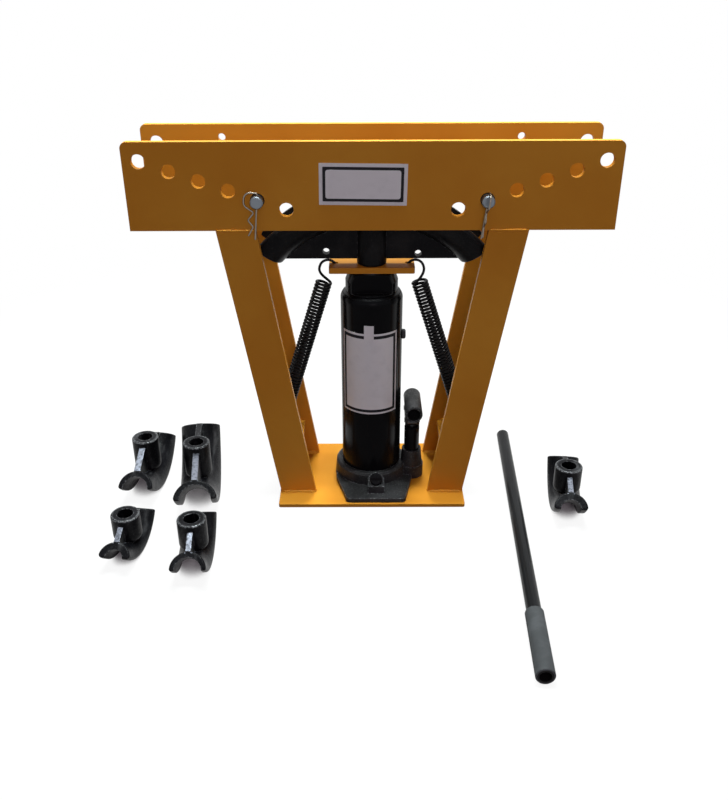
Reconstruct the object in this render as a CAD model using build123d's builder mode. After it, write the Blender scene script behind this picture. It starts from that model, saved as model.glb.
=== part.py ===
from build123d import *
import os
from math import asin, atan2, cos, degrees, hypot, radians, sin, sqrt, tan
import numpy as np

# Hydraulic tube bending press, in millimetres.
# X runs along the beam plates, Y away from the operator, Z up.
# The origin is on the underside of the base plate, below the jack's axis.

# Beam plates
beam_length = 610.0
beam_height = 110.0
rear_beam_height = 102.5
beam_thickness = 8.0
beam_corner_radius = 8.0
beam_gap = 102.0
press_height = 510.0

# Pin holes, counted from the ends of the beams inwards
pin_hole_diameter = 18.0
pin_hole_count = 6
pin_hole_pitch = 35.6
pin_hole_drop = 12.0
first_hole_from_end = 20.0
first_hole_from_top = 23.5
pin_hole_in_use = 4

# Small hanging holes, in the rear beam only
hanging_hole_diameter = 10.0
hanging_hole_x = 198.0
hanging_hole_from_top = 17.0

# Legs and base plate
leg_width = 50.0
leg_thickness = 8.0
leg_top_outer_x = 197.5
leg_foot_outer_x = 132.5
base_length = 268.0
base_front = 92.0
base_back = 77.0
base_thickness = 5.0
base_corner_radius = 3.0

# Shelves that hold the lower ends of the return springs
shelf_top_z = 63.0
shelf_thickness = 5.0
shelf_inner_x = 102.0
hook_hole_diameter = 8.0

# Jack: foot and collar casting
foot_thickness = 7.0
foot_corner_radius = 6.0
foot_front = 88.0
foot_front_left_x = -35.5
foot_front_right_x = 48.0
foot_left_x = -52.5
foot_left_front = 27.0
foot_right_x = 61.5
foot_right_front = 20.0
foot_side_back = 33.0
foot_back = 60.0
foot_back_half_width = 36.0
collar_radius = 52.0
collar_draft = 2.0
collar_top_z = 30.0
collar_bevel = 3.0
collar_floor_z = 18.0
seat_clearance = 0.2

# Jack: reservoir, pressure cylinder, ram
reservoir_radius = 43.0
reservoir_wall = 3.0
reservoir_shoulder_radius = 14.0
reservoir_mouth_radius = 31.0
cylinder_bore_radius = 23.0
cylinder_wall = 6.0
ram_radius = 18.0
piston_length = 22.0
piston_start_z = 24.0
piston_seal_width = 5.0
piston_seal_depth = 3.0
slide_clearance = 0.05

# Jack: top nut
nut_height = 27.0
nut_below_plate = 2.0
nut_radius = 36.0
nut_top_radius = 31.5
nut_bevel_height = 12.0
nut_flat_half_width = 23.5
wiper_width = 4.0
wiper_height = 5.0

# Jack: filler plug and release valve
filler_z = 232.0
filler_hole_radius = 4.6
drill_over_travel = 1.0
filler_stem_clearance = 0.1
filler_head_radius = 7.0
filler_head_height = 5.0
valve_x = 6.4
valve_y = -60.6
valve_z = 26.8
valve_lift = 35.0
valve_boss_radius = 10.5
valve_boss_length = 14.0
valve_block_width = 24.0
valve_block_front = 75.0
valve_block_top_z = 24.0
valve_stem_radius = 5.0
valve_stem_length = 12.0
valve_head_radius = 9.0
valve_head_length = 9.0
valve_head_clearance = 0.6
valve_slot_width = 4.0
valve_slot_depth = 4.0
valve_gap = 0.3

# Jack: hand pump
pump_x = 60.0
pump_y = -8.0
pump_boss_radius = 18.0
pump_boss_top_radius = 14.0
pump_boss_top_z = 50.0
pump_barrel_radius = 11.0
pump_barrel_top_z = 88.0
plunger_radius = 6.0
plunger_bottom_z = 26.0
plunger_pin_z = 97.0
lever_arm = 26.0
lever_rest_angle = 15.0
lever_eye_radius = 8.0
lever_eye_thickness = 12.0
pump_pin_radius = 3.5
pump_pin_clearance = 0.3
lug_foot_radius = 13.0
lug_foot_z = 24.0
cheek_thickness = 4.0
cheek_gap = 0.4
pivot_pin_stick_out = 1.0
socket_radius = 12.4
socket_bore_radius = 9.65
socket_front = 48.0
socket_back = 12.0
socket_end_wall = 8.0
socket_axis_z = 127.0
socket_mouth_bevel = 1.0

# Spring plate on the ram
spring_plate_thickness = 8.0
spring_plate_length = 115.0
spring_plate_depth = 44.0
spring_plate_corner_radius = 3.0

# Return springs
spring_wire_diameter = 3.6
spring_mean_radius = 9.7
spring_turns = 48
spring_top_beyond_plate = 7.4
spring_top_below_plate = 18.0
spring_bottom_above_shelf = 19.0
hook_hole_from_edge = {"left": 8.65, "right": 4.9}
upper_hook_radius = 11.5
upper_hook_rise = 19.5
upper_hook_straight = 2.0
upper_hook_tail = 4.0
lower_hook_radius = 6.5
hook_seat_gap = 0.4
tail_length = 2.8

# Spigot of the ram and sockets of the dies
spigot_radius = 10.4
spigot_length = 33.0
spigot_clearance = 0.15
socket_depth = 32.0
boss_edge_radius = 2.5
boss_foot_radius = 9.0
boss_sink = 3.0
web_setback = 8.0
rim_round_share = 0.48
channel_end_round = 2.4

# Pipe rollers, their pins and spring clips
roller_pin_radius = 8.0
roller_pin_stick_out = 13.0
roller_pin_end_bevel = 1.5
roller_pin_head_radius = 13.0
roller_pin_head_length = 6.0
roller_pin_end_play = 0.4
roller_clearance = 0.4
roller_end_radius = 18.0
roller_waist_radius = 14.0
roller_side_gap = 2.0
clip_wire_diameter = 2.2
clip_hole_clearance = 0.3
clip_from_end = 7.0
clip_leg_length = 48.0
clip_bow_width = 16.2
clip_bow_top = 10.4
clip_bow_bottom = -6.0
clip_heel_radius = 2.2
clip_bow_radius = 8.0
clip_wave_radius = 2.6
clip_pinch = 3.0
clip_waves = [(clip_pinch, -14.0), (10.2, -24.0), (clip_pinch, -32.0), (8.6, -44.0)]
clip_tilts = {"left": 5.5, "right": 7.0}

# Pump handle, lying on the floor
handle_radius = 9.25
handle_wall = 2.0
handle_length = 526.0
handle_end = (187.0, -429.0)
handle_turn = 3.0
grip_radius = 11.5
grip_length = 103.0
grip_clearance = 0.05
grip_edge_radius = 1.5
floor_gap = 0.02

# Loose dies: place on the floor and turn
loose_die_places = {
    "bending_die_40": (-254.3, -43.3, 6.8),
    "bending_die_32": (-334.3, -18.7, -2.7),
    "bending_die_25": (-234.0, -209.5, 1.8),
    "bending_die_20": (279.9, -80.4, -6.4),
    "bending_die_15": (-326.3, -186.2, -6.7),
}

# Loose dies: groove radius, rim wall, crown wall, bend radius, half angle, height, web
loose_die_sizes = {
    "bending_die_40": (21.5, 8.8, 7.0, 128.0, 52.4, 81.3, 8.4),
    "bending_die_32": (18.0, 6.5, 8.4, 100.5, 48.4, 75.5, 8.6),
    "bending_die_25": (17.1, 6.0, 7.6, 77.0, 54.0, 66.2, 7.0),
    "bending_die_20": (13.7, 9.5, 10.9, 82.6, 54.9, 63.0, 7.0),
    "bending_die_15": (11.5, 9.7, 10.0, 70.0, 51.7, 57.5, 7.0),
}
loose_die_boss_radius = 19.2

# Die on the ram
die_below_top = 75.0
mounted_die_groove_radius = 30.5
mounted_die_wall = 9.0
mounted_die_crown_wall = 11.5
mounted_die_bend_radius = 204.0
mounted_die_half_angle = 48.0
mounted_die_height = 98.0
mounted_die_web = 12.0
mounted_die_boss_radius = 20.0
mounted_die_web_hole_radius = 4.5
mounted_die_web_holes = [(-61.0, 18.0), (62.0, 15.0)]

# Places worked out from the sizes above
beam_bottom_z = press_height - beam_height
rear_beam_bottom_z = press_height - rear_beam_height
inner_y = beam_gap / 2
outer_y = inner_y + beam_thickness
leg_slope = (leg_top_outer_x - leg_foot_outer_x) / (beam_bottom_z - base_thickness)
leg_level_width = leg_width * sqrt(1 + leg_slope ** 2)
spring_plate_top_z = press_height - die_below_top - mounted_die_height
spring_plate_bottom_z = spring_plate_top_z - spring_plate_thickness
nut_top_z = spring_plate_bottom_z - nut_below_plate
reservoir_top_z = nut_top_z - nut_height
spring_top_x = spring_plate_length / 2 + spring_top_beyond_plate
spring_top_z = spring_plate_bottom_z - spring_top_below_plate
spring_bottom_z = shelf_top_z + spring_bottom_above_shelf
shelf_bottom_z = shelf_top_z - shelf_thickness
shelf_middle_z = shelf_top_z - shelf_thickness / 2
fulcrum_y = pump_y + lever_arm * cos(radians(lever_rest_angle))
fulcrum_z = plunger_pin_z + lever_arm * sin(radians(lever_rest_angle))
pin_in_use_x = beam_length / 2 - first_hole_from_end - pin_hole_in_use * pin_hole_pitch
pin_in_use_z = press_height - first_hole_from_top - pin_hole_in_use * pin_hole_drop
wire_radius = spring_wire_diameter / 2


def leg_outer_x(z):
    """Distance of a leg's outer edge from the middle of the press at height z."""
    return leg_foot_outer_x + leg_slope * (z - base_thickness)


def save(part, name):
    """Label a finished piece and write it."""
    part.label = name
    export_step(part, f"parts/{name}.step")


def beam_plate(back_y, height, extra_holes):
    """One upright beam plate with its two rows of pin holes."""
    pin_holes = [
        (
            side * (beam_length / 2 - first_hole_from_end - i * pin_hole_pitch),
            press_height - first_hole_from_top - i * pin_hole_drop,
        )
        for side in (-1, 1)
        for i in range(pin_hole_count)
    ]
    with BuildPart() as plate:
        with BuildSketch(Plane.XZ.offset(-back_y)) as outline:
            with Locations((0, press_height - height / 2)):
                Rectangle(beam_length, height)
            fillet(outline.vertices().group_by(Axis.Y)[-1], beam_corner_radius)
            with Locations(*pin_holes):
                Circle(pin_hole_diameter / 2, mode=Mode.SUBTRACT)
            if extra_holes:
                with Locations(*extra_holes):
                    Circle(hanging_hole_diameter / 2, mode=Mode.SUBTRACT)
        extrude(amount=beam_thickness)
    return plate.part


def leg(side, back_y, top_z):
    """One flat leg, leaning outwards from the base plate to the underside of a beam."""
    top_outer_x = leg_outer_x(top_z)
    with BuildPart() as bar:
        with BuildSketch(Plane.XZ.offset(-back_y)):
            with BuildLine():
                Polyline(
                    (side * leg_foot_outer_x, base_thickness),
                    (side * (leg_foot_outer_x - leg_level_width), base_thickness),
                    (side * (top_outer_x - leg_level_width), top_z),
                    (side * top_outer_x, top_z),
                    close=True,
                )
            make_face()
        extrude(amount=leg_thickness)
    return bar.part


def spring_shelf(side, hole_x):
    """Level plate between a front and a rear leg, with the hole for a spring's hook."""
    outer_x = leg_outer_x(shelf_bottom_z)
    with BuildPart() as shelf:
        with BuildSketch(Plane.XY.offset(shelf_bottom_z)):
            with Locations((side * (outer_x + shelf_inner_x) / 2, 0)):
                Rectangle(outer_x - shelf_inner_x, beam_gap)
            with Locations((side * hole_x, 0)):
                Circle(hook_hole_diameter / 2, mode=Mode.SUBTRACT)
        extrude(amount=shelf_thickness)
    return shelf.part


def bending_die(seat, size, boss_radius, holes):
    """One die on a seat plane: rim towards the plane, boss standing away from it."""
    groove_radius, wall, crown_wall, bend_radius, half_angle, height, web = size
    half_width = groove_radius + wall
    depth = groove_radius + crown_wall
    back_radius = bend_radius - depth
    centre = seat.from_local_coords(Vector(0, 0, bend_radius))
    turn_axis = Axis(centre, -seat.y_dir)
    # the web follows the crown's inside and ends level with its own edge or at the channel's ends
    web_edge_z = height - web_setback
    end_z = min(bend_radius - back_radius * cos(radians(half_angle)), web_edge_z)
    end_x = sqrt(back_radius ** 2 - (bend_radius - end_z) ** 2)
    end_angle = atan2(end_x, bend_radius - end_z)
    web_root_radius = back_radius + crown_wall / 2
    web_root_x = web_root_radius * sin(end_angle)
    web_root_z = bend_radius - web_root_radius * cos(end_angle)
    over_travel = 3.0

    def section_plane(angle):
        """Plane across the channel, its Y axis pointing from the arc's centre to the rim."""
        a = radians(angle)
        return Plane(
            origin=centre,
            x_dir=seat.y_dir,
            z_dir=-(seat.x_dir * cos(a) + seat.z_dir * sin(a)),
        )

    upright = Plane(origin=seat.origin, x_dir=seat.x_dir, z_dir=-seat.y_dir)
    with BuildPart() as die:
        # channel, first solid, with a rounded rim and rounded ends
        with BuildSketch(section_plane(-half_angle)) as channel:
            with BuildLine():
                Line((half_width, bend_radius), (-half_width, bend_radius))
                ThreePointArc((-half_width, bend_radius), (0, back_radius), (half_width, bend_radius))
            make_face()
            fillet(channel.vertices(), rim_round_share * wall)
        revolve(axis=turn_axis, revolution_arc=2 * half_angle)
        fillet(die.faces().filter_by(GeomType.PLANE).edges(), channel_end_round)
        # web from the boss to both ends of the channel
        with BuildSketch(upright.offset(-web / 2)) as web_sketch:
            with BuildLine():
                Polyline(
                    (web_root_x, web_root_z),
                    (end_x, end_z),
                    (boss_radius, web_edge_z),
                    (-boss_radius, web_edge_z),
                    (-end_x, end_z),
                    (-web_root_x, web_root_z),
                )
                ThreePointArc(
                    (-web_root_x, web_root_z),
                    (0, bend_radius - web_root_radius),
                    (web_root_x, web_root_z),
                )
            make_face()
            if holes:
                with Locations(*holes):
                    Circle(mounted_die_web_hole_radius, mode=Mode.SUBTRACT)
        extrude(amount=web)
        # boss, rounded where it sinks into the crown
        boss_foot_z = depth - boss_sink
        with BuildSketch(upright) as boss_half:
            with Locations((boss_radius / 2, (boss_foot_z + height) / 2)):
                Rectangle(boss_radius, height - boss_foot_z)
            fillet(boss_half.vertices().group_by(Axis.X)[-1].sort_by(Axis.Y)[-1], boss_edge_radius)
            fillet(boss_half.vertices().group_by(Axis.X)[-1].sort_by(Axis.Y)[0], boss_foot_radius)
        revolve(axis=Axis(seat.origin, seat.z_dir))
        # groove for the pipe, past both ends of the channel
        with BuildSketch(section_plane(-half_angle - over_travel)):
            with Locations((0, bend_radius)):
                Circle(groove_radius)
        revolve(axis=turn_axis, revolution_arc=2 * (half_angle + over_travel), mode=Mode.SUBTRACT)
        # socket for the ram
        with BuildSketch(seat.offset(height - socket_depth)):
            Circle(spigot_radius + spigot_clearance)
        extrude(amount=socket_depth, mode=Mode.SUBTRACT)
    return die.part


def biarc(start, start_dir, end, end_dir):
    """Two arcs that leave start along start_dir and reach end along end_dir."""
    span = end - start
    both = start_dir + end_dir
    spread = 2 * (1 - start_dir.dot(end_dir))
    along = span.dot(both)
    if spread < 1e-9:
        reach = span.dot(span) / (2 * along)
    else:
        reach = (sqrt(along ** 2 + spread * span.dot(span)) - along) / spread
    first_corner = start + start_dir * reach
    second_corner = end - end_dir * reach
    joint = (first_corner + second_corner) * 0.5
    joint_dir = (second_corner - first_corner).normalized()
    TangentArc(start, joint, tangent=start_dir)
    TangentArc(joint, end, tangent=joint_dir)


def coil_point(quarter, coil_length):
    """Point and direction on the coil after so many quarter turns."""
    angle = radians(90 * (quarter + 1))
    rise = coil_length / (4 * spring_turns)
    slope = rise / radians(90)
    across = Vector(-sin(angle) * spring_mean_radius, cos(angle) * spring_mean_radius, slope)
    place = Vector(cos(angle) * spring_mean_radius, sin(angle) * spring_mean_radius, rise * quarter)
    return place, across.normalized()


def return_spring(coil_length, lower_hook_drop):
    """Extension spring standing on the XY plane, with an open hook at each end."""
    up = Vector(0, 0, 1)
    shank = Vector(spring_mean_radius, 0, -lower_hook_drop)
    lower = shank - Vector(lower_hook_radius, 0, 0)
    lower_tail = shank - Vector(2 * lower_hook_radius, 0, 0)
    shank_top = shank + up * (lower_hook_drop / 2)
    upper = Vector(0, 0, coil_length + upper_hook_rise)
    side = Vector(upper_hook_radius, 0, 0)
    hook_start = upper - side - up * upper_hook_straight
    last_half = 2 * spring_turns - 1
    with BuildPart() as spring:
        with BuildLine() as path:
            # lower hook: tail, half round, shank through the shelf
            Line(lower_tail + up * tail_length, lower_tail)
            ThreePointArc(lower_tail, lower - up * lower_hook_radius, shank)
            Line(shank, shank_top)
            biarc(shank_top, up, *coil_point(0, coil_length))
            # coil, a biarc for each half turn and one for the last quarter
            for half in range(last_half):
                biarc(*coil_point(2 * half, coil_length), *coil_point(2 * half + 2, coil_length))
            coil_end = coil_point(2 * last_half + 1, coil_length)
            biarc(*coil_point(2 * last_half, coil_length), *coil_end)
            # upper hook: across the coil's top, half round, tail through the spring plate
            biarc(*coil_end, hook_start, up)
            Line(hook_start, upper - side)
            ThreePointArc(upper - side, upper + up * upper_hook_radius, upper + side)
            Line(upper + side, upper + side - up * upper_hook_tail)
        with BuildSketch(Plane(origin=path.line @ 0, z_dir=path.line % 0)):
            Circle(wire_radius)
        sweep()
    return spring.part, path.line


def least_self_gap(line):
    """Smallest clear distance of the wire from itself, measured on points along it."""
    per_edge = 8
    points = []
    lengths = []
    run = 0.0
    for edge in line.edges():
        for i in range(per_edge):
            p = edge.position_at(i / per_edge)
            points.append((p.X, p.Y, p.Z))
            lengths.append(run + edge.length * i / per_edge)
        run += edge.length
    places = np.array(points)
    along = np.array(lengths)
    least = float("inf")
    for i in range(len(places)):
        far = np.abs(along - along[i]) > 4 * spring_wire_diameter
        least = min(least, float(np.linalg.norm(places[far] - places[i], axis=1).min()))
    return least - spring_wire_diameter


def roller_pin(x, tilt):
    """Headed pin through both beams, with a cross hole near its front end."""
    front_y = outer_y + roller_pin_stick_out
    head_y = outer_y + roller_pin_end_play
    hole_y = front_y - clip_from_end
    cross_axis = Vector(sin(radians(tilt)), 0, cos(radians(tilt)))
    middle = Vector(x, -hole_y, pin_in_use_z)
    with BuildPart() as pin:
        with BuildSketch(Plane.XZ.offset(-head_y)):
            with Locations((x, pin_in_use_z)):
                Circle(roller_pin_radius)
        extrude(amount=head_y + front_y)
        chamfer(pin.faces().sort_by(Axis.Y)[0].edges(), roller_pin_end_bevel)
        with BuildSketch(Plane.XZ.offset(-head_y)):
            with Locations((x, pin_in_use_z)):
                Circle(roller_pin_head_radius)
        extrude(amount=-roller_pin_head_length)
        chamfer(pin.faces().sort_by(Axis.Y)[-1].edges(), roller_pin_end_bevel)
        with BuildSketch(Plane(origin=middle, z_dir=cross_axis)):
            Circle(clip_wire_diameter / 2 + clip_hole_clearance)
        extrude(amount=roller_pin_radius + drill_over_travel, both=True, mode=Mode.SUBTRACT)
    return pin.part


def pin_clip(x, tilt, bow_dir):
    """Wire clip: straight leg through the pin, bowed and waved leg beside it."""
    hole_y = outer_y + roller_pin_stick_out - clip_from_end
    up = Vector(sin(radians(tilt)), 0, cos(radians(tilt)))
    bow = Vector(*bow_dir)
    bow = (bow - up * bow.dot(up)).normalized()
    flat = Plane(origin=(x, -hole_y, pin_in_use_z), x_dir=bow, z_dir=bow.cross(up))
    bow_points = [
        (0, -clip_leg_length),
        (0, clip_bow_top),
        (clip_bow_width, clip_bow_top),
        (clip_bow_width, clip_bow_bottom),
    ]
    leg_points = bow_points + clip_waves
    bends = [clip_heel_radius] + [clip_bow_radius] * 2 + [clip_wave_radius] * 3
    with BuildPart() as clip:
        with BuildLine(flat) as path:
            FilletPolyline(*leg_points, radius=bends)
        with BuildSketch(Plane(origin=path.line @ 0, z_dir=path.line % 0)):
            Circle(clip_wire_diameter / 2)
        sweep()
    return clip.part


def pipe_roller(x):
    """Waisted roller on a roller pin, between the beams."""
    half_length = inner_y - roller_side_gap
    bore_radius = roller_pin_radius + roller_clearance
    section = Plane(origin=(x, 0, pin_in_use_z), x_dir=(0, 1, 0), z_dir=(1, 0, 0))
    with BuildPart() as roller:
        with BuildSketch(section):
            with BuildLine():
                Polyline(
                    (-half_length, roller_end_radius),
                    (-half_length, bore_radius),
                    (half_length, bore_radius),
                    (half_length, roller_end_radius),
                )
                ThreePointArc(
                    (half_length, roller_end_radius),
                    (0, roller_waist_radius),
                    (-half_length, roller_end_radius),
                )
            make_face()
        revolve(axis=Axis((x, 0, pin_in_use_z), (0, 1, 0)))
    return roller.part


os.makedirs("parts", exist_ok=True)

# Base plate
with BuildPart() as base_plate:
    with BuildSketch() as base_outline:
        with Locations((0, (base_back - base_front) / 2)):
            Rectangle(base_length, base_front + base_back)
        fillet(base_outline.vertices(), base_corner_radius)
    extrude(amount=base_thickness)
save(base_plate.part, "base_plate")

# Beam plates and legs
hanging_holes = [(side * hanging_hole_x, press_height - hanging_hole_from_top) for side in (-1, 1)]
save(beam_plate(-inner_y, beam_height, []), "front_beam_plate")
save(beam_plate(outer_y, rear_beam_height, hanging_holes), "rear_beam_plate")
for side, side_name in ((-1, "left"), (1, "right")):
    save(leg(side, -inner_y, beam_bottom_z), f"front_{side_name}_leg")
    save(leg(side, outer_y, rear_beam_bottom_z), f"rear_{side_name}_leg")

# Return springs: built upright, then leaned over to the line between their hooks
shelf_holes = {}
plate_holes = {}
for side, side_name in ((-1, "left"), (1, "right")):
    # the coil's axis passes the hole of its lower hook at the coil's radius
    shelf_holes[side_name] = leg_outer_x(shelf_bottom_z) - hook_hole_from_edge[side_name]
    hole_reach_x = shelf_holes[side_name] - spring_top_x
    hole_reach_z = spring_top_z - shelf_middle_z
    lean = atan2(hole_reach_x, hole_reach_z) + asin(spring_mean_radius / hypot(hole_reach_x, hole_reach_z))
    foot_x = spring_top_x + (spring_top_z - spring_bottom_z) * tan(lean)
    coil_length = (spring_top_z - spring_bottom_z) / cos(lean)
    tail_rise = (2 * lower_hook_radius - spring_mean_radius) * sin(lean)
    tail_top_z = shelf_bottom_z - hook_seat_gap - wire_radius * sin(lean)
    lower_hook_drop = (spring_bottom_z + tail_rise - tail_top_z) / cos(lean) + tail_length
    spring, spring_line = return_spring(coil_length, lower_hook_drop)
    print("least gap of a spring's wire to itself:", round(least_self_gap(spring_line), 2), "mm")
    leaned = Plane(
        origin=(side * foot_x, 0, spring_bottom_z),
        x_dir=(-side * cos(lean), 0, -sin(lean)),
        z_dir=(-side * sin(lean), 0, cos(lean)),
    )
    save(spring.moved(leaned.location), f"{side_name}_return_spring")
    # the plate's hole lies where the upper hook's end passes it
    upper_hook_z = spring_top_z + upper_hook_rise * cos(lean)
    upper_hook_x = spring_top_x - upper_hook_rise * sin(lean)
    hook_top_reach = sqrt((upper_hook_radius - wire_radius) ** 2 - (spring_plate_top_z - upper_hook_z) ** 2)
    plate_holes[side_name] = upper_hook_x - (hook_top_reach + upper_hook_radius + wire_radius) / 2

# Spring shelves
for side, side_name in ((-1, "left"), (1, "right")):
    save(spring_shelf(side, shelf_holes[side_name]), f"{side_name}_spring_shelf")

# Spring plate
with BuildPart() as spring_plate:
    with BuildSketch(Plane.XY.offset(spring_plate_bottom_z)) as plate_outline:
        Rectangle(spring_plate_length, spring_plate_depth)
        fillet(plate_outline.vertices(), spring_plate_corner_radius)
        Circle(spigot_radius + spigot_clearance, mode=Mode.SUBTRACT)
        with Locations((-plate_holes["left"], 0), (plate_holes["right"], 0)):
            Circle(hook_hole_diameter / 2, mode=Mode.SUBTRACT)
    extrude(amount=spring_plate_thickness)
save(spring_plate.part, "spring_plate")

# Jack base: foot, collar, pump boss, lever lug and valve block in one casting
pump_centre = (pump_x, pump_y)
valve_axis = (0, -cos(radians(valve_lift)), sin(radians(valve_lift)))
valve_face = Plane(origin=(valve_x, valve_y, valve_z), x_dir=(1, 0, 0), z_dir=valve_axis)
with BuildPart() as jack_base:
    with BuildSketch(Plane.XY.offset(base_thickness)) as foot_outline:
        with BuildLine():
            Polyline(
                (foot_front_left_x, -foot_front),
                (foot_front_right_x, -foot_front),
                (foot_right_x, -foot_right_front),
                (foot_right_x, foot_side_back),
                (foot_back_half_width, foot_back),
                (-foot_back_half_width, foot_back),
                (foot_left_x, foot_side_back),
                (foot_left_x, -foot_left_front),
                close=True,
            )
        make_face()
        fillet(foot_outline.vertices(), foot_corner_radius)
    extrude(amount=foot_thickness)
    # pad under the pump boss and the lug
    with BuildSketch(Plane.XY.offset(base_thickness)):
        with BuildSketch(mode=Mode.PRIVATE) as pad_circles:
            with Locations(pump_centre):
                Circle(pump_boss_radius)
            with Locations((pump_x, fulcrum_y)):
                Circle(lug_foot_radius)
        make_hull(pad_circles.edges())
    extrude(amount=lug_foot_z - base_thickness)
    # collar round the reservoir's foot
    with BuildSketch(Plane.XZ):
        with BuildLine():
            Polyline(
                (0, base_thickness),
                (collar_radius + collar_draft, base_thickness),
                (collar_radius, collar_top_z - collar_bevel),
                (collar_radius - collar_bevel, collar_top_z),
                (0, collar_top_z),
                close=True,
            )
        make_face()
    revolve(axis=Axis.Z)
    # tapered boss of the pump
    with BuildSketch(Plane.XY.offset(base_thickness)):
        with Locations(pump_centre):
            Circle(pump_boss_radius)
    with BuildSketch(Plane.XY.offset(pump_boss_top_z)):
        with Locations(pump_centre):
            Circle(pump_boss_top_radius)
    loft()
    # lug for the lever's fulcrum
    with BuildSketch(Plane.YZ.offset(pump_x - lever_eye_thickness / 2)):
        with BuildSketch(mode=Mode.PRIVATE) as lug_circles:
            with Locations((fulcrum_y, lug_foot_z)):
                Circle(lug_foot_radius)
            with Locations((fulcrum_y, fulcrum_z)):
                Circle(lever_eye_radius)
        make_hull(lug_circles.edges())
    extrude(amount=lever_eye_thickness)
    with BuildSketch(Plane.YZ.offset(pump_x - lever_eye_thickness / 2)):
        with Locations((fulcrum_y, fulcrum_z)):
            Circle(pump_pin_radius + pump_pin_clearance)
    extrude(amount=lever_eye_thickness, mode=Mode.SUBTRACT)
    # block and slanting boss of the release valve, with a round recess for its head
    with BuildSketch(Plane.XY.offset(base_thickness)):
        with Locations((valve_x, -(valve_block_front + reservoir_radius) / 2)):
            Rectangle(valve_block_width, valve_block_front - reservoir_radius)
    extrude(amount=valve_block_top_z - base_thickness)
    with BuildSketch(valve_face):
        Circle(valve_boss_radius)
    extrude(amount=-valve_boss_length)
    with BuildSketch(valve_face):
        Circle(valve_head_radius + valve_head_clearance)
    extrude(amount=2 * valve_head_length, mode=Mode.SUBTRACT)
    with BuildSketch(valve_face):
        Circle(valve_stem_radius + slide_clearance)
    extrude(amount=-(valve_stem_length + valve_gap), mode=Mode.SUBTRACT)
    # seat of the reservoir and bore of the pump
    with BuildSketch(Plane.XY.offset(collar_floor_z)):
        Circle(reservoir_radius + seat_clearance)
    extrude(amount=pump_boss_top_z, mode=Mode.SUBTRACT)
    with BuildSketch(Plane.XY.offset(plunger_bottom_z - piston_seal_width)):
        with Locations(pump_centre):
            Circle(plunger_radius + slide_clearance)
    extrude(amount=pump_boss_top_z, mode=Mode.SUBTRACT)
save(jack_base.part, "jack_base")

# Reservoir: turned shell with a rounded shoulder
inner_radius = reservoir_radius - reservoir_wall
with BuildPart() as jack_reservoir:
    with BuildSketch(Plane.XZ) as reservoir_section:
        with BuildLine():
            Polyline(
                (reservoir_radius, collar_floor_z),
                (reservoir_radius, reservoir_top_z),
                (reservoir_mouth_radius, reservoir_top_z),
                (reservoir_mouth_radius, reservoir_top_z - reservoir_wall),
                (inner_radius, reservoir_top_z - reservoir_wall),
                (inner_radius, collar_floor_z),
                close=True,
            )
        make_face()
        shoulder = reservoir_section.vertices().group_by(Axis.Y)[-1].sort_by(Axis.X)[-1]
        fillet(shoulder, reservoir_shoulder_radius - reservoir_wall)
    revolve(axis=Axis.Z)
    with BuildSketch(Plane.YZ.offset(inner_radius - drill_over_travel)):
        with Locations((0, filler_z)):
            Circle(filler_hole_radius)
    extrude(amount=reservoir_wall + 2 * drill_over_travel, mode=Mode.SUBTRACT)
save(jack_reservoir.part, "jack_reservoir")

# Pressure cylinder inside the reservoir
with BuildPart() as pressure_cylinder:
    with BuildSketch(Plane.XY.offset(collar_floor_z)):
        Circle(cylinder_bore_radius + cylinder_wall)
        Circle(cylinder_bore_radius, mode=Mode.SUBTRACT)
    extrude(amount=reservoir_top_z - collar_floor_z)
save(pressure_cylinder.part, "pressure_cylinder")

# Top nut: turned, bevelled, with two flats for a spanner and a recess for the wiper
with BuildPart() as jack_top_nut:
    with BuildSketch(Plane.XZ):
        with BuildLine():
            Polyline(
                (ram_radius + slide_clearance, reservoir_top_z),
                (nut_radius, reservoir_top_z),
                (nut_radius, nut_top_z - nut_bevel_height),
                (nut_top_radius, nut_top_z),
                (ram_radius + wiper_width, nut_top_z),
                (ram_radius + wiper_width, nut_top_z - wiper_height),
                (ram_radius + slide_clearance, nut_top_z - wiper_height),
                close=True,
            )
        make_face()
    revolve(axis=Axis.Z)
    with BuildSketch(Plane.XY.offset(reservoir_top_z + reservoir_wall / 2)):
        for side in (-1, 1):
            with Locations((0, side * (nut_flat_half_width + nut_radius / 2))):
                Rectangle(2 * nut_radius, nut_radius)
    extrude(amount=nut_height, mode=Mode.SUBTRACT)
save(jack_top_nut.part, "jack_top_nut")

# Wiper ring in the nut's recess
with BuildPart() as ram_wiper:
    with BuildSketch(Plane.XY.offset(nut_top_z - wiper_height)):
        Circle(ram_radius + wiper_width - slide_clearance)
        Circle(ram_radius + 2 * slide_clearance, mode=Mode.SUBTRACT)
    extrude(amount=wiper_height)
save(ram_wiper.part, "ram_wiper")

# Filler plug: stem and rounded head
with BuildPart() as oil_filler_plug:
    with BuildSketch(Plane.YZ.offset(inner_radius)):
        with Locations((0, filler_z)):
            Circle(filler_hole_radius - filler_stem_clearance)
    extrude(amount=reservoir_wall)
    with BuildSketch(Plane.YZ.offset(reservoir_radius)):
        with Locations((0, filler_z)):
            Circle(filler_head_radius)
    extrude(amount=filler_head_height)
    fillet(oil_filler_plug.faces().sort_by(Axis.X)[-1].edges(), filler_head_height / 2)
save(oil_filler_plug.part, "oil_filler_plug")

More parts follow.
